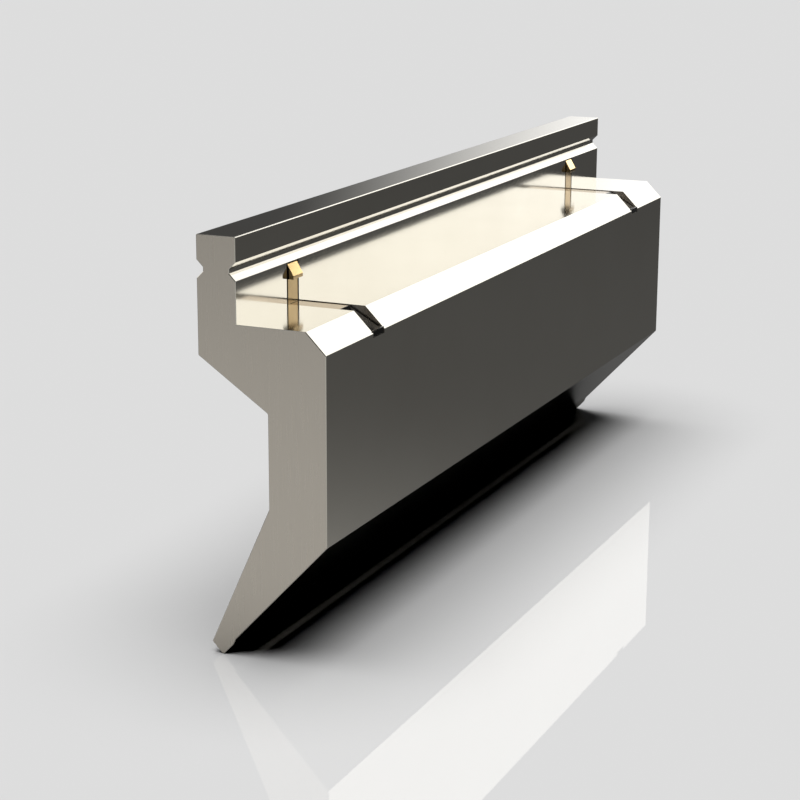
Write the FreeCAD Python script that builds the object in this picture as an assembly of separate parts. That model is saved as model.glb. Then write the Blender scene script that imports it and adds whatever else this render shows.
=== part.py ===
import FreeCAD, Part
import math
import os

# Gooseneck press brake punch: a ground steel bar that hangs in the beam's tool holder
# by a grooved tang. Two bronze latches in its front slots hook over a ledge in the holder,
# and let go when their noses are pressed in against a spring.
#
# Millimetres. +X runs along the bar, -Y is the operator's side and +Z is up. The origin is
# at mid-length, on the tang's centre plane, level with the load shoulder. The tip lies on
# the same plane, straight below.

# ---------------------------------------------------------------- driving dimensions

# Bar
punch_length = 500.0
working_height = 160.0      # load shoulder down to the tip
tang_width = 20.0
tang_height = 40.0
shoulder_depth = 35.0       # tang face to the start of the front chamfer
front_chamfer = 10.0        # at 45 degrees
front_face_height = 90.0
edge_radius = 0.5           # broken edges along the bar
end_break = 0.3             # bevel round both end faces

# Safety grooves, one in each face of the tang, with flanks at 45 degrees
groove_depth = 3.3
groove_floor = 1.9
groove_height = 24.15       # groove's middle above the load shoulder

# Relief behind the web
web_thickness = 29.5
rear_land = 16.0            # load shoulder down to the relief's upper slant
neck_top = 40.0             # load shoulder down to the upper end of the web
neck_bottom = 85.5          # load shoulder down to the lower end of the web
neck_radius = 1.5

# Tip
tip_angle = 86.0
tip_radius = 1.0
tip_width = 11.2            # across the nose, where its flanks begin
step_height = 2.7           # steep step above the front flank

# Latch slots: each crosses the shoulder and the chamfer, and rises as a pocket in the tang
latch_inset = 56.25         # slot's middle from the end of the bar
slot_width = 12.5
nose_drop = 2.0             # slot's floor below the chamfer's lower edge
pocket_margin = 0.3         # pocket's top below the groove's lower edge

# Latches
side_gap = 1.25             # latch to slot, on each side, above the runner
running_gap = 0.1           # runner to slot, on each side and below
runner_height = 3.0         # wide foot that runs in the slot
latch_travel = 3.2
end_clearance = 0.5         # left behind the latch when it is fully in
post_thickness = 4.8
post_top_gap = 0.6          # post's top below the top of its pocket
hook_clearance = 0.3        # hook behind the tang face when the latch is fully in
hook_underside = 11.7       # above the load shoulder
hook_land = 1.7             # height of the hook's blunt front
ramp_angle = 60.0           # hook's ramp above the horizontal
leg_sink = 0.35             # latch below the load shoulder and the chamfer's lower edge
nose_lead = 8.0             # nose's slope begins this far behind the chamfer
nose_recess = 0.2           # nose behind the front face
latch_edge = 0.3

# Shoulder screw, which guides the latch and stops it on its way out
shank_diameter = 4.0
shank_clearance = 0.05      # radial
thread_diameter = 3.0
thread_length = 6.0
thread_relief = 1.0         # tapped hole beyond the screw's end
head_diameter = 7.5
head_height = 2.8
head_sink = 0.5             # head below the rear face when the latch is fully in
head_clearance = 0.55       # radial, in the counterbore
head_edge = 0.4
socket_across_flats = 2.5
socket_depth = 1.7

# Return spring round the screw's shank
wire_diameter = 0.9
spring_clearance = 0.2      # radial, to the shank inside and to the bore outside
spring_bore_depth = 12.0
spring_turns = 8.5

# Guide pin behind the hook
pin_diameter = 2.0
pin_clearance = 0.03        # radial, in the latch
pin_grip = 7.7              # length pressed into the tang
pin_rise = 1.6              # pin's axis above the hook's underside
pin_bore_wall = 1.6         # left in the hook in front of the pin's bore
pin_end_clearance = 0.2
pin_end_bevel = 0.2

# ---------------------------------------------------------------- derived places

half_length = punch_length / 2
tang_face = -tang_width / 2
rear_face = tang_width / 2
chamfer_top = tang_face - shoulder_depth
front_face = chamfer_top - front_chamfer
web_rear = front_face + web_thickness
groove_low_edge = groove_height - groove_floor / 2 - groove_depth
pocket_top = groove_low_edge - pocket_margin

post_rear = tang_face + post_thickness
pocket_rear = post_rear + latch_travel + end_clearance
post_top = pocket_top - post_top_gap
slot_floor = -front_chamfer - nose_drop
latch_width = slot_width - 2 * side_gap
runner_width = slot_width - 2 * running_gap
latch_bottom = slot_floor + running_gap
nose_front = front_face + nose_recess
hook_front = tang_face - latch_travel + hook_clearance

screw_height = (latch_bottom - leg_sink) / 2
spring_coil = shank_diameter + 2 * spring_clearance + wire_diameter
spring_bore = spring_coil + wire_diameter + 2 * spring_clearance
spring_seat = post_rear - spring_bore_depth
head_seat = rear_face - head_sink - latch_travel - head_height
pin_height = hook_underside + pin_rise
pin_bore_end = hook_front + pin_bore_wall
pin_front = pin_bore_end + latch_travel + pin_end_clearance

latch_places = {"left": latch_inset - half_length, "right": half_length - latch_inset}


# ---------------------------------------------------------------- helpers

def rounded_outline(corners):
    """Closed wire in the YZ plane through (y, z, radius) corners, with tangent arcs."""
    edges = []
    ends = []
    count = len(corners)
    for i in range(count):
        before = FreeCAD.Vector(0, *corners[i - 1][:2])
        here = FreeCAD.Vector(0, *corners[i][:2])
        after = FreeCAD.Vector(0, *corners[(i + 1) % count][:2])
        radius = corners[i][2]
        if radius == 0:
            ends.append((here, here))
            continue
        towards = (before - here).normalize()
        away = (after - here).normalize()
        half_corner = towards.getAngle(away) / 2
        reach = radius / math.tan(half_corner)
        start = here + towards * reach
        end = here + away * reach
        middle = here + (towards + away).normalize() * (radius / math.sin(half_corner) - radius)
        edges.append(Part.Arc(start, middle, end).toShape())
        ends.append((start, end))
    for i in range(count):
        edges.append(Part.LineSegment(ends[i - 1][1], ends[i][0]).toShape())
    return Part.Wire(Part.sortEdges(edges)[0])


def bar_of(outline, length, middle=0.0):
    """Solid bar along X from a YZ outline, centred on middle."""
    face = Part.Face(outline)
    face.translate(FreeCAD.Vector(middle - length / 2, 0, 0))
    return face.extrude(FreeCAD.Vector(length, 0, 0))


def block(x_middle, x_size, y_low, y_high, z_low, z_high):
    """Box centred along X, between two Y and two Z levels."""
    corner = FreeCAD.Vector(x_middle - x_size / 2, y_low, z_low)
    return Part.makeBox(x_size, y_high - y_low, z_high - z_low, corner)


def rod(x, z, y_low, y_high, diameter):
    """Cylinder along Y."""
    start = FreeCAD.Vector(x, y_low, z)
    return Part.makeCylinder(diameter / 2, y_high - y_low, start, FreeCAD.Vector(0, 1, 0))


def edges_in_plane(shape, axis, level):
    """Edges whose every point lies at one level along an axis, 0 for X or 1 for Y."""
    return [
        edge for edge in shape.Edges
        if all(abs(vertex.Point[axis] - level) < 1e-6 for vertex in edge.Vertexes)
    ]


# ---------------------------------------------------------------- bar

def bar_corners():
    """Cross-section of the bar, from the tang's top front corner round to its top rear."""
    half_tip = math.radians(tip_angle / 2)
    apex = -working_height - tip_radius * (1 / math.sin(half_tip) - 1)
    nose_half = tip_width / 2
    nose_top = apex + nose_half / math.tan(half_tip)
    relief_slope = (nose_half - web_rear) / (-neck_bottom - nose_top)
    step_top = nose_top + step_height
    groove_top_edge = groove_low_edge + groove_floor + 2 * groove_depth

    front_groove = [
        (tang_face, groove_top_edge, 0),
        (tang_face + groove_depth, groove_top_edge - groove_depth, 0),
        (tang_face + groove_depth, groove_low_edge + groove_depth, 0),
        (tang_face, groove_low_edge, 0),
    ]
    rear_groove = [(-y, z, radius) for y, z, radius in reversed(front_groove)]
    return [
        (tang_face, tang_height, edge_radius),
        *front_groove,
        (tang_face, 0, 0),
        (chamfer_top, 0, edge_radius),
        (front_face, -front_chamfer, edge_radius),
        (front_face, -front_chamfer - front_face_height, edge_radius),
        (-nose_half - step_height * relief_slope, step_top, 0),
        (-nose_half, nose_top, 0),
        (0, apex, tip_radius),
        (nose_half, nose_top, 0),
        (web_rear, -neck_bottom, neck_radius),
        (web_rear, -neck_top, neck_radius),
        (rear_face, -rear_land, edge_radius),
        *rear_groove,
        (rear_face, tang_height, edge_radius),
    ]


def make_punch_body():
    body = bar_of(rounded_outline(bar_corners()), punch_length)
    end_edges = edges_in_plane(body, 0, -half_length) + edges_in_plane(body, 0, half_length)
    body = body.makeChamfer(end_break, end_edges)
    for x in latch_places.values():
        slot = block(x, slot_width, front_face, pocket_rear, slot_floor, 0)
        pocket = block(x, slot_width, tang_face, pocket_rear, 0, pocket_top)
        shank_bore = rod(x, screw_height, pocket_rear, head_seat, shank_diameter + 2 * shank_clearance)
        counterbore = rod(x, screw_height, head_seat, rear_face, head_diameter + 2 * head_clearance)
        pin_hole = rod(x, pin_height, pocket_rear, pocket_rear + pin_grip, pin_diameter)
        body = body.cut([slot.fuse(pocket), shank_bore, counterbore, pin_hole])
    return body


# ---------------------------------------------------------------- latch

def latch_corners():
    """Side view of the latch: runner, sloping nose, leg, post and hook."""
    ramp_foot = hook_underside + hook_land
    ramp_run = (post_top - ramp_foot) / math.tan(math.radians(ramp_angle))
    return [
        (post_rear, latch_bottom, latch_edge),
        (nose_front, latch_bottom, 0),
        (nose_front, -front_chamfer - leg_sink, latch_edge),
        (chamfer_top + nose_lead, -leg_sink, latch_edge),
        (tang_face, -leg_sink, latch_edge),
        (tang_face, hook_underside, 0),
        (hook_front, hook_underside, 0),
        (hook_front, ramp_foot, latch_edge),
        (hook_front + ramp_run, post_top, latch_edge),
        (post_rear, post_top, latch_edge),
    ]


def make_latch(x):
    outline = rounded_outline(latch_corners())
    runner_top = latch_bottom + runner_height
    runner_zone = block(x, runner_width, front_face, pocket_rear, slot_floor, runner_top)
    runner = bar_of(outline, runner_width, x).common(runner_zone)
    latch = bar_of(outline, latch_width, x).fuse(runner)
    bore = rod(x, screw_height, spring_seat, post_rear, spring_bore)
    thread_end = spring_seat - thread_length - thread_relief
    thread = rod(x, screw_height, thread_end, spring_seat, thread_diameter)
    pin_bore = rod(x, pin_height, pin_bore_end, post_rear, pin_diameter + 2 * pin_clearance)
    return latch.cut([bore, thread, pin_bore]).removeSplitter()


def make_shoulder_screw(x):
    head = rod(x, screw_height, head_seat, head_seat + head_height, head_diameter)
    head = head.makeChamfer(head_edge, edges_in_plane(head, 1, head_seat + head_height))
    shank = rod(x, screw_height, spring_seat, head_seat, shank_diameter)
    thread = rod(x, screw_height, spring_seat - thread_length, spring_seat, thread_diameter)
    socket_radius = socket_across_flats / math.sqrt(3)
    hexagon = Part.makePolygon([
        FreeCAD.Vector(
            x + socket_radius * math.cos(math.radians(60 * side)),
            head_seat + head_height,
            screw_height + socket_radius * math.sin(math.radians(60 * side)),
        )
        for side in range(7)
    ])
    socket = Part.Face(hexagon).extrude(FreeCAD.Vector(0, -socket_depth, 0))
    return head.fuse([shank, thread]).cut(socket).removeSplitter()


def make_return_spring(x):
    """Round wire on a helix round the screw's shank, with both ends ground flat."""
    length = pocket_rear - spring_seat
    pitch = length / spring_turns
    helix = Part.makeHelix(pitch, length + pitch, spring_coil / 2)
    start = FreeCAD.Vector(spring_coil / 2, 0, 0)
    section = Part.Wire(Part.makeCircle(wire_diameter / 2, start, FreeCAD.Vector(0, 1, 0)))
    coil = Part.Wire(helix).makePipeShell([section], True, True)
    coil.translate(FreeCAD.Vector(0, 0, -pitch / 2))
    coil.rotate(FreeCAD.Vector(0, 0, 0), FreeCAD.Vector(1, 0, 0), -90)
    coil.translate(FreeCAD.Vector(x, spring_seat, screw_height))
    room = rod(x, screw_height, spring_seat, pocket_rear, spring_coil + 2 * wire_diameter)
    return coil.common(room)


def make_guide_pin(x):
    pin = rod(x, pin_height, pin_front, pocket_rear + pin_grip, pin_diameter)
    end_edges = edges_in_plane(pin, 1, pin_front) + edges_in_plane(pin, 1, pocket_rear + pin_grip)
    return pin.makeChamfer(pin_end_bevel, end_edges)


# ---------------------------------------------------------------- nodes

makers = {
    "latch": make_latch,
    "shoulder_screw": make_shoulder_screw,
    "return_spring": make_return_spring,
    "guide_pin": make_guide_pin,
}
nodes = {"punch_body": make_punch_body()}
for side, place in latch_places.items():
    for name, make in makers.items():
        nodes[name + "_" + side] = make(place)

os.makedirs("parts", exist_ok=True)
for name, shape in nodes.items():
    if not shape.isValid() or len(shape.Solids) != 1:
        raise ValueError("%s is not one valid solid" % name)
    shape.Solids[0].exportStep("parts/" + name + ".step")
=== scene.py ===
"""A gooseneck press brake punch with two spring-loaded bronze safety latches, in a pale studio.

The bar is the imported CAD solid, dressed as ground tool steel. The latches, shoulder screws, return
springs and guide pins are rebuilt here with broken edges, real threads and closed spring ends.
Lengths are millimetres in the dataclass fields and metres in the meshes.
"""
import logging
import math
from collections.abc import Callable, Iterable, Sequence
from dataclasses import dataclass
from enum import Enum

import bmesh
import bpy
from mathutils import Matrix, Vector


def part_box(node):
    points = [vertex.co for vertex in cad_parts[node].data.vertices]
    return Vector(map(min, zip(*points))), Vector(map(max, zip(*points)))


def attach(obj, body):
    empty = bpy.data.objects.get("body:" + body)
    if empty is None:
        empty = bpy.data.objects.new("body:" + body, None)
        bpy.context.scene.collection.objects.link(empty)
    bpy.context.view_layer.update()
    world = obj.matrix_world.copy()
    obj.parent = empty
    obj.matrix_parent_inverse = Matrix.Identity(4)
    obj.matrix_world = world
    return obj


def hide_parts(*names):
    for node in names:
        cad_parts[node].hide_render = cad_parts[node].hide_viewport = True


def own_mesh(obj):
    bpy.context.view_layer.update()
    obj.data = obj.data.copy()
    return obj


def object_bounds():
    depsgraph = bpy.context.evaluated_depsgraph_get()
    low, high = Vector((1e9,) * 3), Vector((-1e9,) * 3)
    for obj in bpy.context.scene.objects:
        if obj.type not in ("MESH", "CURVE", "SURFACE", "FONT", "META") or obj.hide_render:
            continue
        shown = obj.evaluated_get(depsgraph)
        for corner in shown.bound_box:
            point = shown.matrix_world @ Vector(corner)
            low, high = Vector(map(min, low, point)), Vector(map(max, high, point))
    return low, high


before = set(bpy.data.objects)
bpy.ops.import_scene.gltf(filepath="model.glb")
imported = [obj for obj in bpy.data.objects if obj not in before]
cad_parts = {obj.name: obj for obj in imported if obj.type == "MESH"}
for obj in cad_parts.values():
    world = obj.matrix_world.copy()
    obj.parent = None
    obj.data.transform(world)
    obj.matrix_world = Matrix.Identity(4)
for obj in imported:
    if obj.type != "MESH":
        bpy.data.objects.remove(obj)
CAD_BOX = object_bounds()

MM = 0.001
LOG = logging.getLogger("punch")

SHARP_ANGLE = 32.0              # degrees between faces, above which an edge is sharp
FLAT_ANGLE = 1.0                # degrees between faces, below which they are one face
SAME_POINT = 1e-7               # m
BEVEL_SEGMENTS = 2
NOISE_LOW, NOISE_HIGH = 0.3, 0.7    # nearly all of a noise lies between these
STAIN_START, STAIN_FULL = 0.35, 0.75    # noise at which a stain begins, and at which it is full

# Sockets of the Mix node, which go by number because their names repeat
VALUE_A, VALUE_B = 2, 3
COLOUR_A, COLOUR_B = 6, 7
COLOUR_OUT = 2

Point = tuple[float, float]
Ring = list[Vector]


# ---------------------------------------------------------------- named options

class Side(Enum):
    """Which end of the bar a latch stands near."""

    LEFT = "left"
    RIGHT = "right"

    @property
    def body(self) -> str:
        """CAD body of this side's latch."""
        return f"{self.value}_latch"

    @property
    def joint(self) -> str:
        """CAD joint that presses this side's latch in."""
        return f"latch_press_{self.value}"


class Slot(Enum):
    """Material slot names that the pieces carry."""

    TOOL_STEEL = "tool_steel"
    BRONZE = "bronze"
    SCREW_STEEL = "screw_steel"
    SPRING_STEEL = "spring_steel"
    PIN_STEEL = "pin_steel"


class Grain(Enum):
    """Axes that the lines of a cutter, wheel or die are drawn out along; two of them make rings."""

    ALONG_X = (0,)
    ALONG_Z = (2,)
    AROUND_Y = (0, 2)


# ---------------------------------------------------------------- small tools

def linear(hex_colour: str) -> tuple[float, float, float, float]:
    """Turn an sRGB hex colour into linear values.

    Args:
        hex_colour: Colour such as "#CDCBC3".

    Returns:
        Linear red, green, blue and an alpha of one.
    """
    def channel(start: int) -> float:
        """Linear value of the channel whose two digits begin at start."""
        value = int(hex_colour[start:start + 2], 16) / 255
        return value / 12.92 if value <= 0.04045 else ((value + 0.055) / 1.055) ** 2.4

    return channel(1), channel(3), channel(5), 1.0


def add_node(tree: bpy.types.NodeTree, kind: str, inputs: dict | None = None,
             **settings: object) -> bpy.types.Node:
    """Add a node, set its properties, and set or link its inputs.

    Args:
        tree: Tree that gets the node.
        kind: Node type, such as "ShaderNodeTexNoise".
        inputs: Input name or index, with a value or the output socket to link from.
        settings: Properties of the node itself.

    Returns:
        The new node.
    """
    node = tree.nodes.new(kind)
    for name, value in settings.items():
        setattr(node, name, value)
    for key, value in (inputs or {}).items():
        if isinstance(value, bpy.types.NodeSocket):
            tree.links.new(value, node.inputs[key])
        else:
            node.inputs[key].default_value = value
    return node


def circle(radius: float, y: float, count: int, centre: Vector) -> Ring:
    """Ring of points round an axis along Y.

    Args:
        radius: Radius in mm.
        y: Place along the axis in mm.
        count: Number of points.
        centre: Axis place in mm, of which X and Z count.

    Returns:
        The points in mm.
    """
    angles = (math.tau * step / count for step in range(count))
    return [Vector((centre.x + radius * math.cos(angle), y, centre.z + radius * math.sin(angle)))
            for angle in angles]


def skin_rings(mesh: bmesh.types.BMesh, rings: Sequence[Ring]) -> None:
    """Join rings of equal count with quads, and close both ends.

    Args:
        mesh: Mesh that gets the faces.
        rings: Rings in mm, in order, of which the first and last become faces.
    """
    rows = [[mesh.verts.new(point * MM) for point in ring] for ring in rings]
    for lower, upper in zip(rows, rows[1:]):
        for i in range(len(lower)):
            j = (i + 1) % len(lower)
            mesh.faces.new((lower[i], lower[j], upper[j], upper[i]))
    mesh.faces.new(reversed(rows[0]))
    mesh.faces.new(rows[-1])
    bmesh.ops.recalc_face_normals(mesh, faces=mesh.faces)


def new_object(name: str, mesh: bmesh.types.BMesh, smooth_below: float = SHARP_ANGLE) -> bpy.types.Object:
    """Turn a bmesh into an object with smooth shading up to an angle.

    Args:
        name: Name of the piece.
        mesh: Its mesh, which is freed.
        smooth_below: Angle in degrees up to which neighbouring faces shade as one.

    Returns:
        The object, linked to the scene.
    """
    data = bpy.data.meshes.new(name)
    mesh.to_mesh(data)
    mesh.free()
    data.shade_smooth()
    data.set_sharp_from_angle(angle=math.radians(smooth_below))
    made = bpy.data.objects.new(name, data)
    bpy.context.scene.collection.objects.link(made)
    return made


def rounded(corners: Iterable[tuple[float, float, float]], steps: int = 4) -> list[Point]:
    """Outline with tangent arcs at its corners.

    Args:
        corners: Corners as (y, z, radius) in mm, in order round the outline.
        steps: Straight steps in each arc.

    Returns:
        The outline's points in mm.
    """
    corners = list(corners)
    points: list[Point] = []
    for i, (y, z, radius) in enumerate(corners):
        here = Vector((y, z))
        if radius == 0:
            points.append((y, z))
            continue
        towards = (Vector(corners[i - 1][:2]) - here).normalized()
        away = (Vector(corners[(i + 1) % len(corners)][:2]) - here).normalized()
        half = towards.angle(away) / 2
        middle = here + (towards + away).normalized() * (radius / math.sin(half))
        first = here + towards * (radius / math.tan(half)) - middle
        sweep = first.angle_signed(here + away * (radius / math.tan(half)) - middle)
        for step in range(steps + 1):
            turned = Matrix.Rotation(-sweep * step / steps, 2) @ first
            points.append(tuple(middle + turned))
    return points


def prism(name: str, outline: Sequence[Point], middle: float, width: float) -> bpy.types.Object:
    """Solid along X from a YZ outline.

    Args:
        name: Name of the object.
        outline: Points as (y, z) in mm.
        middle: X of its middle in mm.
        width: Width along X in mm.

    Returns:
        The solid.
    """
    mesh = bmesh.new()
    ends = [[Vector((middle + shift, y, z)) for y, z in outline] for shift in (-width / 2, width / 2)]
    skin_rings(mesh, ends)
    return new_object(name, mesh)


def combine(target: bpy.types.Object, tools: Iterable[bpy.types.Object], operation: str) -> None:
    """Join solids to a target or cut them from it, and remove them.

    Args:
        target: Solid that is changed.
        tools: Solids that change it.
        operation: "UNION" or "DIFFERENCE".
    """
    for tool in tools:
        boolean = target.modifiers.new("combine", "BOOLEAN")
        boolean.operation = operation
        boolean.solver = "EXACT"
        boolean.object = tool
        bpy.context.view_layer.update()
        graph = bpy.context.evaluated_depsgraph_get()
        made = bpy.data.meshes.new_from_object(target.evaluated_get(graph))
        target.modifiers.clear()
        target.data = made
        bpy.data.objects.remove(tool)


def break_edges(piece: bpy.types.Object, width: float) -> None:
    """Bevel every sharp edge of a solid.

    Args:
        piece: The solid.
        width: Width of the bevel in mm.
    """
    mesh = bmesh.new()
    mesh.from_mesh(piece.data)
    bmesh.ops.remove_doubles(mesh, verts=mesh.verts, dist=SAME_POINT)
    flat = math.radians(FLAT_ANGLE)
    bmesh.ops.dissolve_limit(mesh, angle_limit=flat, verts=mesh.verts, edges=mesh.edges)
    limit = math.radians(SHARP_ANGLE)
    sharp = [edge for edge in mesh.edges if edge.is_manifold and edge.calc_face_angle() > limit]
    bmesh.ops.bevel(mesh, geom=sharp, offset=width * MM, segments=BEVEL_SEGMENTS, profile=0.5,
                    affect="EDGES", clamp_overlap=True, miter_outer="ARC")
    mesh.to_mesh(piece.data)
    mesh.free()
    piece.data.shade_smooth()
    flatter = piece.modifiers.new("flat_faces_stay_flat", "WEIGHTED_NORMAL")
    flatter.weight = 100


# ---------------------------------------------------------------- finishes

@dataclass(frozen=True)
class MetalFinish:
    """A bare metal with the lines that its making left."""

    name: str
    colour: str
    roughness: float
    roughness_spread: float
    line_spacing: float         # mm between lines
    line_length: float          # mm along a line
    line_depth: float           # mm
    grain: Grain
    stain_colour: str
    stain_share: float
    stain_size: float           # mm

    def lines(self, tree: bpy.types.NodeTree, place: bpy.types.NodeSocket) -> bpy.types.Node:
        """Noise drawn out along the grain.

        Args:
            tree: The material's tree.
            place: Coordinates in metres.

        Returns:
            The noise node.
        """
        across = 1 / (self.line_spacing * MM)
        along = 1 / (self.line_length * MM)
        scale = [along if axis in self.grain.value else across for axis in range(3)]
        mapping = add_node(tree, "ShaderNodeMapping", {"Vector": place, "Scale": scale}, vector_type="POINT")
        return add_node(tree, "ShaderNodeTexNoise", {
            "Vector": mapping.outputs[0], "Scale": 1.0, "Detail": 3.0, "Roughness": 0.6})

    def shade(self, tree: bpy.types.NodeTree, place: bpy.types.NodeSocket) -> dict:
        """Colour, roughness and bump of this finish.

        Args:
            tree: The material's tree.
            place: Coordinates in metres.

        Returns:
            Inputs of the Principled shader, by name.
        """
        lines = self.lines(tree, place)
        rough = add_node(tree, "ShaderNodeMapRange", {
            "Value": lines.outputs["Fac"], "From Min": NOISE_LOW, "From Max": NOISE_HIGH,
            "To Min": self.roughness - self.roughness_spread,
            "To Max": self.roughness + self.roughness_spread})
        bump = add_node(tree, "ShaderNodeBump", {
            "Height": lines.outputs["Fac"], "Strength": 1.0, "Distance": self.line_depth * MM})
        cloud = add_node(tree, "ShaderNodeTexNoise", {
            "Vector": place, "Scale": 1 / (self.stain_size * MM), "Detail": 4.0, "Roughness": 0.55})
        share = add_node(tree, "ShaderNodeMapRange", {
            "Value": cloud.outputs["Fac"], "From Min": STAIN_START, "From Max": STAIN_FULL,
            "To Max": self.stain_share})
        tint = add_node(tree, "ShaderNodeMix", {
            "Factor": share.outputs[0], COLOUR_A: linear(self.colour), COLOUR_B: linear(self.stain_colour)},
            data_type="RGBA")
        return {"Base Color": tint.outputs[COLOUR_OUT], "Roughness": rough.outputs[0],
                "Normal": bump.outputs[0]}

    def build(self) -> bpy.types.Material:
        """Make the material.

        Returns:
            The material.
        """
        material = bpy.data.materials.new(self.name)
        material.use_nodes = True
        tree = material.node_tree
        tree.nodes.clear()
        place = add_node(tree, "ShaderNodeTexCoord").outputs["Object"]
        shader = add_node(tree, "ShaderNodeBsdfPrincipled", {"Metallic": 1.0, **self.shade(tree, place)})
        add_node(tree, "ShaderNodeOutputMaterial", {"Surface": shader.outputs[0]})
        return material


@dataclass(frozen=True)
class GroundBarSteel(MetalFinish):
    """Tool steel whose long faces are ground bright and whose ends are sawn and ground matt."""

    end_colour: str = "#CCC5B9"
    end_roughness: float = 0.3
    end_roughness_spread: float = 0.04
    end_line_spacing: float = 0.9   # mm
    end_line_stretch: float = 30.0  # length of a line over its spacing
    end_facing: float = 0.9         # share of a face's normal along X, above which it is an end

    def shade(self, tree: bpy.types.NodeTree, place: bpy.types.NodeSocket) -> dict:
        """Mix the long faces' finish with the end faces' by the way a face looks.

        Args:
            tree: The material's tree.
            place: Coordinates in metres.

        Returns:
            Inputs of the Principled shader, by name.
        """
        sides = super().shade(tree, place)
        facing = add_node(tree, "ShaderNodeNewGeometry").outputs["True Normal"]
        across = add_node(tree, "ShaderNodeSeparateXYZ", {0: facing}).outputs["X"]
        size = add_node(tree, "ShaderNodeMath", {0: across}, operation="ABSOLUTE").outputs[0]
        on_end = add_node(tree, "ShaderNodeMath", {0: size, 1: self.end_facing},
                          operation="GREATER_THAN").outputs[0]
        scale = 1 / (self.end_line_spacing * MM)
        mapping = add_node(tree, "ShaderNodeMapping", {
            "Vector": place, "Scale": (scale, scale, scale / self.end_line_stretch)})
        lines = add_node(tree, "ShaderNodeTexNoise", {
            "Vector": mapping.outputs[0], "Scale": 1.0, "Detail": 3.0})
        end_rough = add_node(tree, "ShaderNodeMapRange", {
            "Value": lines.outputs["Fac"], "From Min": NOISE_LOW, "From Max": NOISE_HIGH,
            "To Min": self.end_roughness - self.end_roughness_spread,
            "To Max": self.end_roughness + self.end_roughness_spread})
        rough = add_node(tree, "ShaderNodeMix", {
            "Factor": on_end, VALUE_A: sides["Roughness"], VALUE_B: end_rough.outputs[0]}, data_type="FLOAT")
        tint = add_node(tree, "ShaderNodeMix", {
            "Factor": on_end, COLOUR_A: sides["Base Color"], COLOUR_B: linear(self.end_colour)},
            data_type="RGBA")
        return {**sides, "Base Color": tint.outputs[COLOUR_OUT], "Roughness": rough.outputs[0]}


@dataclass(frozen=True)
class LatchBronze(MetalFinish):
    """Bronze with a painted highlight on the upward faces of the hook's ramp, and painted shade, a near black
    brown, on the nose.
    """

    # Painted highlight: a bright tan laid on the upward faces of the hook's ramp
    painted_highlight_colour: str = "#F2CF8E"
    painted_highlight_above: float = 13.0      # mm, where the hook's ramp begins
    # Painted shade: a near black brown laid over the nose
    painted_shade_colour: str = "#150E07"
    nose_start: float = -36.0       # Y in mm, where the nose begins to slope
    blend: float = 1.2              # mm over which one colour turns into the next
    slope_start: float = 0.1        # share of a face's normal along Z at which the painted highlight begins
    slope_full: float = 0.35        # and from which the painted highlight is full

    def shade(self, tree: bpy.types.NodeTree, place: bpy.types.NodeSocket) -> dict:
        """Lay the painted highlight and the painted nose shade over the plain bronze.

        Args:
            tree: The material's tree.
            place: Coordinates in metres.

        Returns:
            Inputs of the Principled shader, by name.
        """
        plain = super().shade(tree, place)
        axes = add_node(tree, "ShaderNodeSeparateXYZ", {0: place})
        facing = add_node(tree, "ShaderNodeNewGeometry").outputs["True Normal"]
        facing_up = add_node(tree, "ShaderNodeSeparateXYZ", {0: facing}).outputs["Z"]
        # Painted highlight: faces above the ramp's foot that face upwards get the bright tan
        high = add_node(tree, "ShaderNodeMapRange", {
            "Value": axes.outputs["Z"], "From Min": (self.painted_highlight_above - self.blend) * MM,
            "From Max": self.painted_highlight_above * MM})
        sloped = add_node(tree, "ShaderNodeMapRange", {
            "Value": facing_up, "From Min": self.slope_start, "From Max": self.slope_full})
        painted_highlight = add_node(tree, "ShaderNodeMath", {0: high.outputs[0], 1: sloped.outputs[0]},
                          operation="MULTIPLY")
        # Painted shade: the nose, from nose_start forwards, turns near black brown
        painted_shade = add_node(tree, "ShaderNodeMapRange", {
            "Value": axes.outputs["Y"], "From Min": self.nose_start * MM,
            "From Max": (self.nose_start - self.blend) * MM})
        bright = add_node(tree, "ShaderNodeMix", {
            "Factor": painted_highlight.outputs[0], COLOUR_A: plain["Base Color"], COLOUR_B: linear(self.painted_highlight_colour)},
            data_type="RGBA")
        brown = add_node(tree, "ShaderNodeMix", {
            "Factor": painted_shade.outputs[0], COLOUR_A: bright.outputs[COLOUR_OUT],
            COLOUR_B: linear(self.painted_shade_colour)}, data_type="RGBA")
        return {**plain, "Base Color": brown.outputs[COLOUR_OUT]}


# Hardened alloy tool steel, surface ground along the bar: a warm grey that mirrors the room almost sharply
TOOL_STEEL = GroundBarSteel(
    name="ground_tool_steel", colour="#CECABF", roughness=0.11, roughness_spread=0.02, line_spacing=0.5,
    line_length=60.0, line_depth=0.0004, grain=Grain.ALONG_X, stain_colour="#C7C2B6", stain_share=0.5,
    stain_size=45.0)

# Aluminium bronze, milled and stoned: a dull golden tan with faint cutter lines, with a painted highlight on
# the hook's ramp and painted shade on the nose
MILLED_BRONZE = LatchBronze(
    name="milled_aluminium_bronze", colour="#978159", roughness=0.18, roughness_spread=0.04, line_spacing=0.6,
    line_length=14.0, line_depth=0.004, grain=Grain.ALONG_Z, stain_colour="#7F6A45", stain_share=0.5,
    stain_size=6.0)

# Alloy steel with a hot black oxide, oiled: nearly black with a dull sheen and lathe lines round the axis
BLACK_OXIDE = MetalFinish(
    name="black_oxide_steel", colour="#3C3B3B", roughness=0.34, roughness_spread=0.08, line_spacing=0.35,
    line_length=4.0, line_depth=0.003, grain=Grain.AROUND_Y, stain_colour="#5A5048", stain_share=0.6,
    stain_size=2.5)

# Patented spring wire, cold drawn: a cool bright grey with die lines along the wire
DRAWN_WIRE = MetalFinish(
    name="drawn_spring_wire", colour="#A9AAAC", roughness=0.24, roughness_spread=0.06, line_spacing=0.3,
    line_length=3.0, line_depth=0.002, grain=Grain.AROUND_Y, stain_colour="#85817A", stain_share=0.5,
    stain_size=1.8)

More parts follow.
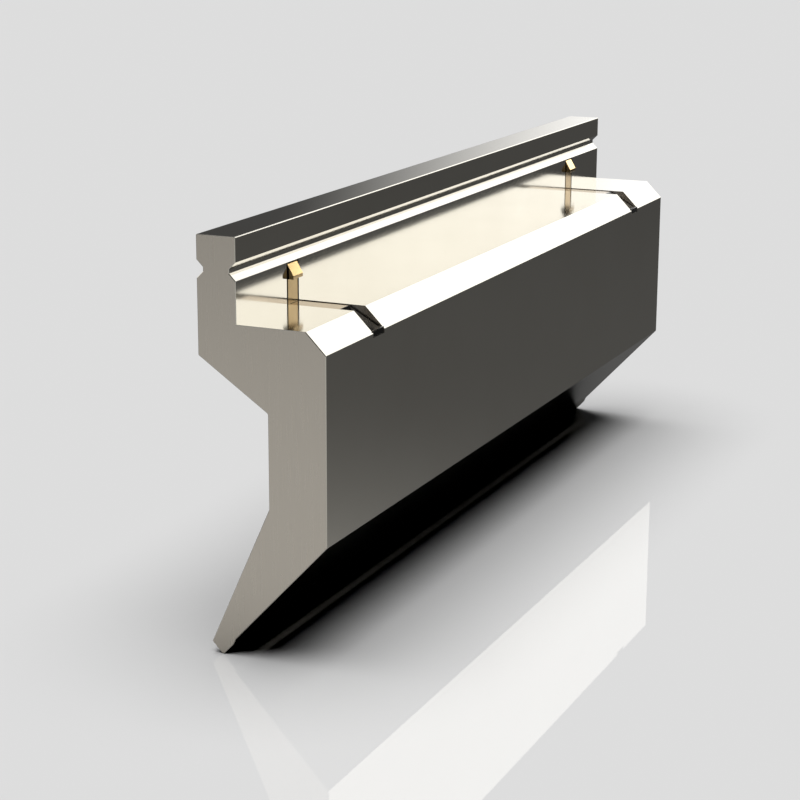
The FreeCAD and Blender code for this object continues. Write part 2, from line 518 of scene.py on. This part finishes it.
# Hardened dowel steel, centreless ground: a clean light grey with fine rings round the pin
DOWEL_STEEL = MetalFinish(
    name="ground_dowel_steel", colour="#CFCFCE", roughness=0.14, roughness_spread=0.04, line_spacing=0.3,
    line_length=3.0, line_depth=0.001, grain=Grain.AROUND_Y, stain_colour="#BDBBB6", stain_share=0.4,
    stain_size=3.0)


def dress(piece: bpy.types.Object, material: bpy.types.Material) -> None:
    """Give a piece one material in place of those it came with."""
    piece.data.materials.clear()
    piece.data.materials.append(material)


# ---------------------------------------------------------------- the punch's pieces

@dataclass
class Piece:
    """One rebuilt piece, which stands for a CAD node on one side of the bar."""

    side: Side
    material: bpy.types.Material

    node_stem = ""
    slot = Slot.TOOL_STEEL

    @property
    def node(self) -> str:
        """CAD node that this piece stands for."""
        return f"{self.node_stem}_{self.side.value}"

    @property
    def name(self) -> str:
        """Name of the piece in the scene."""
        return f"{self.node}_piece"

    @property
    def body(self) -> str:
        """CAD body that it rides on."""
        return "bar"

    def __post_init__(self) -> None:
        """Measure the CAD node's box once, in mm."""
        low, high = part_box(self.node)
        self.low: Vector = low / MM
        self.high: Vector = high / MM
        self.centre: Vector = (self.low + self.high) / 2

    def build(self) -> bpy.types.Object:
        """Build the mesh."""
        raise NotImplementedError

    def place(self) -> bpy.types.Object:
        """Build the piece, dress it, hide its CAD node, and tie it to its body.

        Returns:
            The finished piece.
        """
        made = self.build()
        dress(made, self.material)
        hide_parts(self.node)
        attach(made, self.body)
        LOG.info("%s: %d faces on %s", made.name, len(made.data.polygons), self.body)
        return made


@dataclass
class Latch(Piece):
    """Bronze latch: a runner and leg in the slot, a sloping nose, a post and a hook."""

    width: float = 10.0
    runner_height: float = 3.0
    leg_sink: float = 0.35
    shoulder_face: float = -10.0    # Y of the tang's front face
    chamfer_top: float = -45.0      # Y where the bar's chamfer starts
    chamfer_drop: float = 10.0
    nose_lead: float = 8.0
    hook_front: float = -12.9
    hook_underside: float = 11.7
    hook_land: float = 1.7
    ramp_angle: float = 60.0
    corner: float = 0.3
    edge_break: float = 0.14
    screw_height: float = -6.125
    spring_bore: float = 6.6
    spring_bore_depth: float = 12.0
    thread_bore: float = 3.0
    thread_depth: float = 7.0
    pin_height: float = 13.3
    pin_bore: float = 2.06
    pin_bore_end: float = -11.3
    overrun: float = 1.0            # that a cutter runs past what it cuts
    bore_sides: int = 48

    node_stem = "latch"
    slot = Slot.BRONZE

    @property
    def body(self) -> str:
        """CAD body that it rides on."""
        return self.side.body

    def outline(self) -> list[Point]:
        """Side view, from the bottom rear corner round by the nose and the hook.

        Returns:
            The outline's points in mm.
        """
        rear, bottom = self.high.y, self.low.z
        front, top = self.low.y, self.high.z
        ramp_foot = self.hook_underside + self.hook_land
        ramp_run = (top - ramp_foot) / math.tan(math.radians(self.ramp_angle))
        return rounded([
            (rear, bottom, self.corner),
            (front, bottom, 0),
            (front, -self.chamfer_drop - self.leg_sink, self.corner),
            (self.chamfer_top + self.nose_lead, -self.leg_sink, self.corner),
            (self.shoulder_face, -self.leg_sink, self.corner),
            (self.shoulder_face, self.hook_underside, 0),
            (self.hook_front, self.hook_underside, 0),
            (self.hook_front, ramp_foot, self.corner),
            (self.hook_front + ramp_run, top, self.corner),
            (rear, top, self.corner),
        ])

    def drill(self, diameter: float, start: float, end: float, height: float) -> bpy.types.Object:
        """Cutter for a hole along Y.

        Args:
            diameter: Diameter in mm.
            start: Y of one end in mm.
            end: Y of the other end in mm.
            height: Z of the axis in mm.

        Returns:
            The cutter.
        """
        mesh = bmesh.new()
        axis = Vector((self.centre.x, 0, height))
        skin_rings(mesh, [circle(diameter / 2, y, self.bore_sides, axis) for y in (start, end)])
        return new_object("drill", mesh)

    def build(self) -> bpy.types.Object:
        """Join the leg and the runner, drill the three holes and break the edges.

        Returns:
            The latch.
        """
        middle = self.centre.x
        rear, front, bottom = self.high.y, self.low.y, self.low.z
        runner_top = bottom + self.runner_height
        made = prism(self.name, self.outline(), middle, self.width)
        runner = prism("runner", [(rear, bottom), (rear, runner_top), (front, runner_top), (front, bottom)],
                       middle, self.high.x - self.low.x)
        combine(made, [runner], "UNION")
        seat = rear - self.spring_bore_depth
        past = rear + self.overrun
        combine(made, [
            self.drill(self.spring_bore, seat, past, self.screw_height),
            self.drill(self.thread_bore, seat - self.thread_depth, seat + self.overrun, self.screw_height),
            self.drill(self.pin_bore, self.pin_bore_end, past, self.pin_height),
        ], "DIFFERENCE")
        break_edges(made, self.edge_break)
        return made


@dataclass
class ShoulderScrew(Piece):
    """Socket shoulder screw: head with a hexagon socket, ground shank and a cut thread."""

    head_height: float = 2.8
    head_edge: float = 0.4
    head_rounding: Sequence[tuple[float, float]] = ((2.0, 0.0), (0.8, 0.45), (0.0, 1.3))   # of head_edge
    head_chamfer: float = 0.15      # under the head
    shank: float = 4.0
    shank_chamfer: float = 0.25
    # Fillet and undercut below the head: (wider than the shank, below the seat)
    undercut: Sequence[tuple[float, float]] = ((0.3, 0.0), (-0.3, 0.1), (-0.3, 0.5), (0.0, 0.7))
    thread: float = 3.0
    thread_length: float = 6.0
    thread_pitch: float = 0.5
    ridge_share: float = 0.61       # height of the thread's ridge over its pitch
    socket: float = 2.5             # across flats
    socket_depth: float = 1.7
    socket_mouth: float = 0.15      # chamfer round the socket
    mouth_spread: float = 1.08      # the mouth's circle reaches out to the hexagon's corners
    drill_point: float = 0.3        # diameter of the flat left at the socket's bottom
    drill_depth: float = 0.45       # of the drill's cone, below the socket
    sides: int = 48
    rings_per_pitch: int = 8
    smooth_below: float = 28.0      # degrees

    node_stem = "shoulder_screw"
    slot = Slot.SCREW_STEEL

    @property
    def body(self) -> str:
        """CAD body that it rides on."""
        return self.side.body

    def hexagon(self, across: float, y: float) -> Ring:
        """Points along a hexagon's sides, as many as a round ring has.

        Args:
            across: Size across flats in mm.
            y: Place along the axis in mm.

        Returns:
            The ring in mm.
        """
        ring = []
        for step in range(self.sides):
            angle = math.tau * step / self.sides
            off_flat = (angle + math.pi / 6) % (math.pi / 3) - math.pi / 6
            reach = across / 2 / math.cos(off_flat)
            ring.append(Vector((self.centre.x + reach * math.cos(angle), y,
                                self.centre.z + reach * math.sin(angle))))
        return ring

    def thread_rings(self, start: float) -> list[Ring]:
        """Rings whose radius follows a helical ridge, from the shank down to the tip.

        Args:
            start: Y where the thread begins in mm.

        Returns:
            The rings in mm.
        """
        depth = self.ridge_share * self.thread_pitch
        count = round(self.thread_length / self.thread_pitch * self.rings_per_pitch)
        rings = []
        for step in range(count + 1):
            y = start - self.thread_length * step / count
            fade = min(1.0, min(step, count - step) / self.rings_per_pitch)
            ring = []
            for side in range(self.sides):
                angle = math.tau * side / self.sides
                phase = (step / self.rings_per_pitch + side / self.sides) % 1.0
                groove = 1 - abs(2 * phase - 1)
                radius = self.thread / 2 - depth * (groove * fade + (1 - fade))
                ring.append(Vector((self.centre.x + radius * math.cos(angle), y,
                                    self.centre.z + radius * math.sin(angle))))
            rings.append(ring)
        return rings

    def build(self) -> bpy.types.Object:
        """Lay rings from the socket's floor, over the head and down to the tip.

        Returns:
            The screw.
        """
        def ring(diameter: float, y: float) -> Ring:
            """Ring of the given diameter round the screw's axis."""
            return circle(diameter / 2, y, self.sides, self.centre)

        top = self.high.y
        seat = top - self.head_height
        head = self.high.x - self.low.x
        thread_start = self.low.y + self.thread_length
        mouth = self.socket + 2 * self.socket_mouth
        floor = top - self.socket_depth
        rings = [
            ring(self.drill_point, floor - self.drill_depth),
            self.hexagon(self.socket, floor),
            self.hexagon(self.socket, top - self.socket_mouth),
            ring(mouth * self.mouth_spread, top),
            *(ring(head - inset * self.head_edge, top - drop * self.head_edge)
              for inset, drop in self.head_rounding),
            ring(head, seat + self.head_chamfer),
            ring(head - 2 * self.head_chamfer, seat),
            *(ring(self.shank + wider, seat - below) for wider, below in self.undercut),
            ring(self.shank, thread_start + self.shank_chamfer),
            ring(self.shank - 2 * self.shank_chamfer, thread_start),
            *self.thread_rings(thread_start),
        ]
        mesh = bmesh.new()
        skin_rings(mesh, rings)
        return new_object(self.name, mesh, self.smooth_below)


@dataclass
class ReturnSpring(Piece):
    """Compression spring with closed ends, ground flat."""

    wire: float = 0.9
    active_turns: float = 7.0
    closed_turns: float = 1.1       # at each end
    closed_pitch: float = 0.98      # of the wire, so that closed turns press on each other
    easing: float = 0.3             # how gently the closed turns open into the active ones
    wire_sides: int = 14
    steps_per_turn: int = 40
    shortest: float = 12.5          # length when the latch is fully in
    smooth_below: float = 50.0      # degrees
    flat_edge: float = 1e-8         # m, below which an edge left by the grinding is dissolved

    node_stem = "return_spring"
    slot = Slot.SPRING_STEEL

    def rise(self, turn: float) -> float:
        """Height that the wire has climbed after a number of turns.

        Args:
            turn: Turns from the first end.

        Returns:
            Height of the wire's middle in mm above the first end's plane.
        """
        length = self.high.y - self.low.y
        pitch = self.wire * self.closed_pitch
        shut = self.closed_turns * pitch
        total = self.active_turns + 2 * self.closed_turns
        if turn <= self.closed_turns:
            return turn * pitch
        if turn >= total - self.closed_turns:
            return length - (total - turn) * pitch
        share = (turn - self.closed_turns) / self.active_turns
        eased = share + self.easing * share * (1 - share) * (2 * share - 1)
        return shut + eased * (length - 2 * shut)

    def build(self) -> bpy.types.Object:
        """Sweep the wire round the axis, and grind what stands past either end plane.

        Returns:
            The spring.
        """
        coil = (self.high.x - self.low.x) / 2 - self.wire / 2
        total = self.active_turns + 2 * self.closed_turns
        count = round(total * self.steps_per_turn)
        rings = []
        for step in range(count + 1):
            turn = total * step / count
            angle = math.tau * turn
            outward = Vector((math.cos(angle), 0, math.sin(angle)))
            middle = self.centre + outward * coil
            middle.y = self.low.y + self.rise(turn)
            ring = []
            for side in range(self.wire_sides):
                around = math.tau * side / self.wire_sides
                from_middle = outward * math.cos(around) + Vector((0, math.sin(around), 0))
                point = middle + from_middle * (self.wire / 2)
                point.y = min(max(point.y, self.low.y), self.high.y)
                ring.append(point)
            rings.append(ring)
        mesh = bmesh.new()
        skin_rings(mesh, rings)
        bmesh.ops.dissolve_degenerate(mesh, dist=self.flat_edge, edges=mesh.edges)
        return new_object(self.name, mesh, self.smooth_below)

    def place(self) -> bpy.types.Object:
        """Place the spring, and give it a mesh of its own.

        Returns:
            The finished spring.
        """
        made = super().place()
        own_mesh(made)
        return made


@dataclass
class GuidePin(Piece):
    """Dowel pin with a bevelled lead end and a domed outer end."""

    lead: float = 0.35
    dome_height: float = 0.25
    dome_flat: float = 0.2          # of the radius, at the top of the dome
    dome_sweep: float = 80.0        # degrees
    sides: int = 40
    dome_rings: int = 5

    node_stem = "guide_pin"
    slot = Slot.PIN_STEEL

    def build(self) -> bpy.types.Object:
        """Turn the pin from its lead end to its dome.

        Returns:
            The pin.
        """
        radius = (self.high.x - self.low.x) / 2
        bevel = self.lead / 2
        rings = [circle(radius - bevel, self.low.y, self.sides, self.centre),
                 circle(radius, self.low.y + self.lead, self.sides, self.centre)]
        for step in range(self.dome_rings):
            angle = math.radians(self.dome_sweep) * step / (self.dome_rings - 1)
            share = self.dome_flat + (1 - self.dome_flat) * math.cos(angle)
            y = self.high.y - self.dome_height * (1 - math.sin(angle))
            rings.append(circle(radius * share, y, self.sides, self.centre))
        mesh = bmesh.new()
        skin_rings(mesh, rings)
        return new_object(self.name, mesh)


@dataclass
class PunchBar:
    """The bar itself, which keeps its CAD shape."""

    material: bpy.types.Material
    node: str = "punch_body"

    def place(self) -> bpy.types.Object:
        """Dress the CAD node.

        Returns:
            The bar.
        """
        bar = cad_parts[self.node]
        dress(bar, self.material)
        LOG.info("%s: %d faces, CAD node", self.node, len(bar.data.polygons))
        return bar


# ---------------------------------------------------------------- studio

def not_scattered(tree: bpy.types.NodeTree) -> bpy.types.NodeSocket:
    """Socket that is one until a matt face has scattered the light, and zero after that.

    Args:
        tree: Tree that gets the nodes.

    Returns:
        The socket.
    """
    depth = add_node(tree, "ShaderNodeLightPath").outputs["Diffuse Depth"]
    return add_node(tree, "ShaderNodeMath", {0: depth, 1: 0.5}, operation="LESS_THAN").outputs[0]


class Receiver(Enum):
    """What a light reaches."""

    BAR = "bar"
    SMALL_PIECES = "small_pieces"
    PUNCH = "punch"
    FLOOR = "floor"


@dataclass(frozen=True)
class LightWall:
    """Large lit wall that only the punch mirrors, given by the angles it fills."""

    name: str
    azimuth: float              # degrees from +X towards +Y
    elevation: float
    width: float                # degrees
    height: float               # degrees
    radiance: float
    right_fade: float           # share of the width that fades towards +azimuth
    left_fade: float            # and towards -azimuth
    receiver: Receiver = Receiver.PUNCH
    distance: float = 9.0       # m

    def build(self, centre: Vector, receivers: bpy.types.Collection) -> bpy.types.Object:
        """Make the wall as an area light.

        Args:
            centre: Point in metres that the wall faces.
            receivers: Objects that the light reaches.

        Returns:
            The light.
        """
        wide = 2 * self.distance * math.tan(math.radians(self.width / 2))
        tall = 2 * self.distance * math.tan(math.radians(self.height / 2))
        data = bpy.data.lights.new(self.name, "AREA")
        data.shape = "RECTANGLE"
        data.size, data.size_y = wide, tall
        data.energy = self.radiance * math.pi * wide * tall
        data.use_nodes = True
        tree = data.node_tree
        tree.nodes.clear()
        spot = add_node(tree, "ShaderNodeNewGeometry").outputs["Parametric"]
        across = add_node(tree, "ShaderNodeSeparateXYZ", {0: spot}).outputs["X"]
        right = add_node(tree, "ShaderNodeMapRange", {
            "Value": across, "From Min": 1.0, "From Max": 1.0 - self.right_fade},
            interpolation_type="SMOOTHSTEP")
        left = add_node(tree, "ShaderNodeMapRange", {
            "Value": across, "From Max": self.left_fade}, interpolation_type="SMOOTHSTEP")
        fade = add_node(tree, "ShaderNodeMath", {0: right.outputs[0], 1: left.outputs[0]},
                        operation="MULTIPLY")
        shown = add_node(tree, "ShaderNodeMath", {0: fade.outputs[0], 1: not_scattered(tree)},
                         operation="MULTIPLY")
        glow = add_node(tree, "ShaderNodeEmission", {"Strength": shown.outputs[0]})
        add_node(tree, "ShaderNodeOutputLight", {"Surface": glow.outputs[0]})
        wall = bpy.data.objects.new(self.name, data)
        bpy.context.scene.collection.objects.link(wall)
        turn, rise = math.radians(self.azimuth), math.radians(self.elevation)
        away = Vector((math.cos(turn) * math.cos(rise), math.sin(turn) * math.cos(rise), math.sin(rise)))
        wall.location = centre + away * self.distance
        wall.rotation_mode = "QUATERNION"
        wall.rotation_quaternion = away.to_track_quat("Z", "Y")
        wall.light_linking.receiver_collection = receivers
        wall.visible_camera = False
        return wall


@dataclass
class Studio:
    """Pale glossy floor, a soft light overhead, and lit walls for the steel to mirror."""

    walls: Sequence[LightWall]
    floor_colour: str = "#DEDEDE"
    floor_gloss: float = 0.13           # share of the light that the floor mirrors
    floor_roughness: float = 0.01
    floor_reach: float = 60.0           # m
    overhead_angle: float = 62.0        # degrees across the overhead light
    overhead_strength: float = 3.54
    room_shade: float = 0.07            # what the steel mirrors where no light stands
    # Painted reflection: the floor as the steel mirrors it, along the bar: (X in metres, brightness),
    # brightest to the left
    painted_floor_reflections: Sequence[tuple[float, float]] = (
        (-1.4, 0.26), (-0.35, 0.66), (-0.05, 0.1), (0.35, 0.09), (1.2, 0.07))

    def floor_material(self) -> bpy.types.Material:
        """Lacquered board: matt white with a faint sharp mirror. To rays mirrored off the steel it shows a
        painted reflection instead:
        a grey that changes along the bar, brightest to the left, and black once a matt face has scattered the
        light. The dark flags round a studio's set are left out, so the board itself looks darker in the steel
        than it does to the eye.

        Returns:
            The material.
        """
        material = bpy.data.materials.new("lacquered_board")
        material.use_nodes = True
        tree = material.node_tree
        tree.nodes.clear()
        spot = add_node(tree, "ShaderNodeNewGeometry").outputs["Position"]
        along = add_node(tree, "ShaderNodeSeparateXYZ", {0: spot}).outputs["X"]
        first, last = self.painted_floor_reflections[0][0], self.painted_floor_reflections[-1][0]
        share = add_node(tree, "ShaderNodeMapRange", {"Value": along, "From Min": first, "From Max": last})
        shade = add_node(tree, "ShaderNodeValToRGB", {"Fac": share.outputs[0]})
        ramp = shade.color_ramp
        ramp.interpolation = "B_SPLINE"
        for x, brightness in self.painted_floor_reflections:
            at = (x - first) / (last - first)
            stop = ramp.elements.new(at) if 0 < at < 1 else ramp.elements[-round(at)]
            stop.color = (brightness, brightness, brightness, 1)
        rays = add_node(tree, "ShaderNodeLightPath")
        # Painted reflection: rays mirrored off the steel see this grey ramp, and black after a matt bounce
        painted_reflection = add_node(tree, "ShaderNodeMix", {
            "Factor": not_scattered(tree), COLOUR_A: (0, 0, 0, 1), COLOUR_B: shade.outputs[0]},
            data_type="RGBA")
        colour = add_node(tree, "ShaderNodeMix", {
            "Factor": rays.outputs["Is Glossy Ray"], COLOUR_A: linear(self.floor_colour),
            COLOUR_B: painted_reflection.outputs[COLOUR_OUT]}, data_type="RGBA")
        matt = add_node(tree, "ShaderNodeBsdfDiffuse", {"Color": colour.outputs[COLOUR_OUT]})
        gloss = add_node(tree, "ShaderNodeBsdfGlossy", {
            "Roughness": self.floor_roughness, "Color": (1, 1, 1, 1)})
        mirrored = add_node(tree, "ShaderNodeMath", {0: rays.outputs["Is Camera Ray"], 1: self.floor_gloss},
                            operation="MULTIPLY")
        both = add_node(tree, "ShaderNodeMixShader", {
            0: mirrored.outputs[0], 1: matt.outputs[0], 2: gloss.outputs[0]})
        add_node(tree, "ShaderNodeOutputMaterial", {"Surface": both.outputs[0]})
        return material

    def build_floor(self, level: float) -> bpy.types.Object:
        """Lay the floor.

        Args:
            level: Height in metres of what the punch stands on.

        Returns:
            The floor.
        """
        mesh = bmesh.new()
        reach = self.floor_reach
        corners = [(-reach, -reach), (reach, -reach), (reach, reach), (-reach, reach)]
        mesh.faces.new([mesh.verts.new((x, y, level)) for x, y in corners])
        floor = new_object("floor", mesh)
        dress(floor, self.floor_material())
        return floor

    def build_world(self) -> None:
        """Give the room its pale backdrop, and the dim walls that the steel mirrors."""
        world = bpy.data.worlds.new("studio_room")
        bpy.context.scene.world = world
        world.use_nodes = True
        tree = world.node_tree
        tree.nodes.clear()
        rays = add_node(tree, "ShaderNodeLightPath")
        mirrored = add_node(tree, "ShaderNodeMath", {
            0: rays.outputs["Is Glossy Ray"], 1: not_scattered(tree)}, operation="MULTIPLY")
        share = add_node(tree, "ShaderNodeMath", {0: mirrored.outputs[0], 1: self.room_shade},
                         operation="MULTIPLY")
        dim = add_node(tree, "ShaderNodeBackground", {"Color": (1, 1, 1, 1), "Strength": share.outputs[0]})
        pale = add_node(tree, "ShaderNodeBackground", {"Color": linear(self.floor_colour), "Strength": 1.0})
        both = add_node(tree, "ShaderNodeMixShader", {
            0: rays.outputs["Is Camera Ray"], 1: dim.outputs[0], 2: pale.outputs[0]})
        add_node(tree, "ShaderNodeOutputWorld", {"Surface": both.outputs[0]})

    def build_overhead(self, receivers: bpy.types.Collection) -> None:
        """Hang the soft light straight above.

        Args:
            receivers: Objects that the light reaches.
        """
        data = bpy.data.lights.new("overhead", "SUN")
        data.energy = self.overhead_strength
        data.angle = math.radians(self.overhead_angle)
        light = bpy.data.objects.new("overhead", data)
        light.light_linking.receiver_collection = receivers
        bpy.context.scene.collection.objects.link(light)

    def build(self, bar: bpy.types.Object, small_pieces: Sequence[bpy.types.Object]) -> None:
        """Build the whole studio.

        Args:
            bar: The steel bar.
            small_pieces: Every other piece of the punch.
        """
        low, high = CAD_BOX
        floor = self.build_floor(low.z)
        reached = {Receiver.BAR: [bar], Receiver.SMALL_PIECES: small_pieces,
                   Receiver.PUNCH: [bar, *small_pieces], Receiver.FLOOR: [floor]}
        groups = {}
        for receiver, members in reached.items():
            groups[receiver] = bpy.data.collections.new(f"lit_{receiver.value}")
            for member in members:
                groups[receiver].objects.link(member)
        self.build_world()
        self.build_overhead(groups[Receiver.FLOOR])
        for wall in self.walls:
            wall.build((low + high) / 2, groups[wall.receiver])
        bpy.context.scene.view_settings.view_transform = "Standard"
        LOG.info("studio: %d walls", len(self.walls))


@dataclass(frozen=True)
class StudioCamera:
    """Long lens that looks down along the bar from its left front."""

    azimuth: float = -65.856        # degrees, 0 looks along +Y
    elevation: float = 14.610
    roll: float = 0.215
    lens: float = 92.04             # mm
    sensor: float = 36.0            # mm
    distance: float = 1.15337       # m from the punch's middle
    track_right: float = -0.03964   # m
    track_up: float = -0.03180

    def build(self) -> bpy.types.Object:
        """Place the camera.

        Returns:
            The camera.
        """
        turn, rise, lean = (math.radians(angle) for angle in (self.azimuth, self.elevation, self.roll))
        back = Vector((math.sin(turn) * math.cos(rise), -math.cos(turn) * math.cos(rise), math.sin(rise)))
        right = Vector((math.cos(turn), math.sin(turn), 0))
        up = back.cross(right)
        low, high = CAD_BOX
        place = (low + high) / 2 + back * self.distance + right * self.track_right + up * self.track_up
        leaned_right = right * math.cos(lean) + up * math.sin(lean)
        leaned_up = up * math.cos(lean) - right * math.sin(lean)
        data = bpy.data.cameras.new("studio_camera")
        data.lens = self.lens
        data.sensor_width = self.sensor
        camera = bpy.data.objects.new("studio_camera", data)
        bpy.context.scene.collection.objects.link(camera)
        facing = Matrix((leaned_right, leaned_up, back)).transposed().to_quaternion()
        camera.matrix_world = Matrix.LocRotScale(place, facing, None)
        bpy.context.scene.camera = camera
        return camera


WALLS = (
    LightWall("key_wall", azimuth=-6.1, elevation=18.0, width=67.8, height=26.0, radiance=1.97,
              right_fade=0.28, left_fade=0.06, receiver=Receiver.BAR),
    LightWall("low_key_wall", azimuth=-6.1, elevation=11.0, width=67.8, height=16.0, radiance=2.3,
              right_fade=0.28, left_fade=0.06, receiver=Receiver.SMALL_PIECES),
    LightWall("left_wall", azimuth=165.0, elevation=20.0, width=70.0, height=30.0, radiance=0.9,
              right_fade=0.3, left_fade=0.3),
    LightWall("rear_wall", azimuth=75.0, elevation=24.0, width=60.0, height=30.0, radiance=1.1,
              right_fade=0.3, left_fade=0.3),
    LightWall("ceiling", azimuth=0.0, elevation=90.0, width=60.0, height=60.0, radiance=0.5,
              right_fade=0.4, left_fade=0.4),
)


# ---------------------------------------------------------------- build


def main() -> None:
    """Build every piece in order, then the studio round them."""
    logging.basicConfig(level=logging.INFO, format="%(name)s: %(message)s")
    parts: list[tuple[Callable[..., Piece], MetalFinish]] = [
        (Latch, MILLED_BRONZE), (ShoulderScrew, BLACK_OXIDE), (ReturnSpring, DRAWN_WIRE),
        (GuidePin, DOWEL_STEEL)]
    bar = PunchBar(TOOL_STEEL.build()).place()
    small_pieces = []
    for kind, finish in parts:
        material = finish.build()
        small_pieces += [kind(side, material).place() for side in Side]
    Studio(WALLS).build(bar, small_pieces)
    StudioCamera().build()


if __name__ == "__main__":
    main()
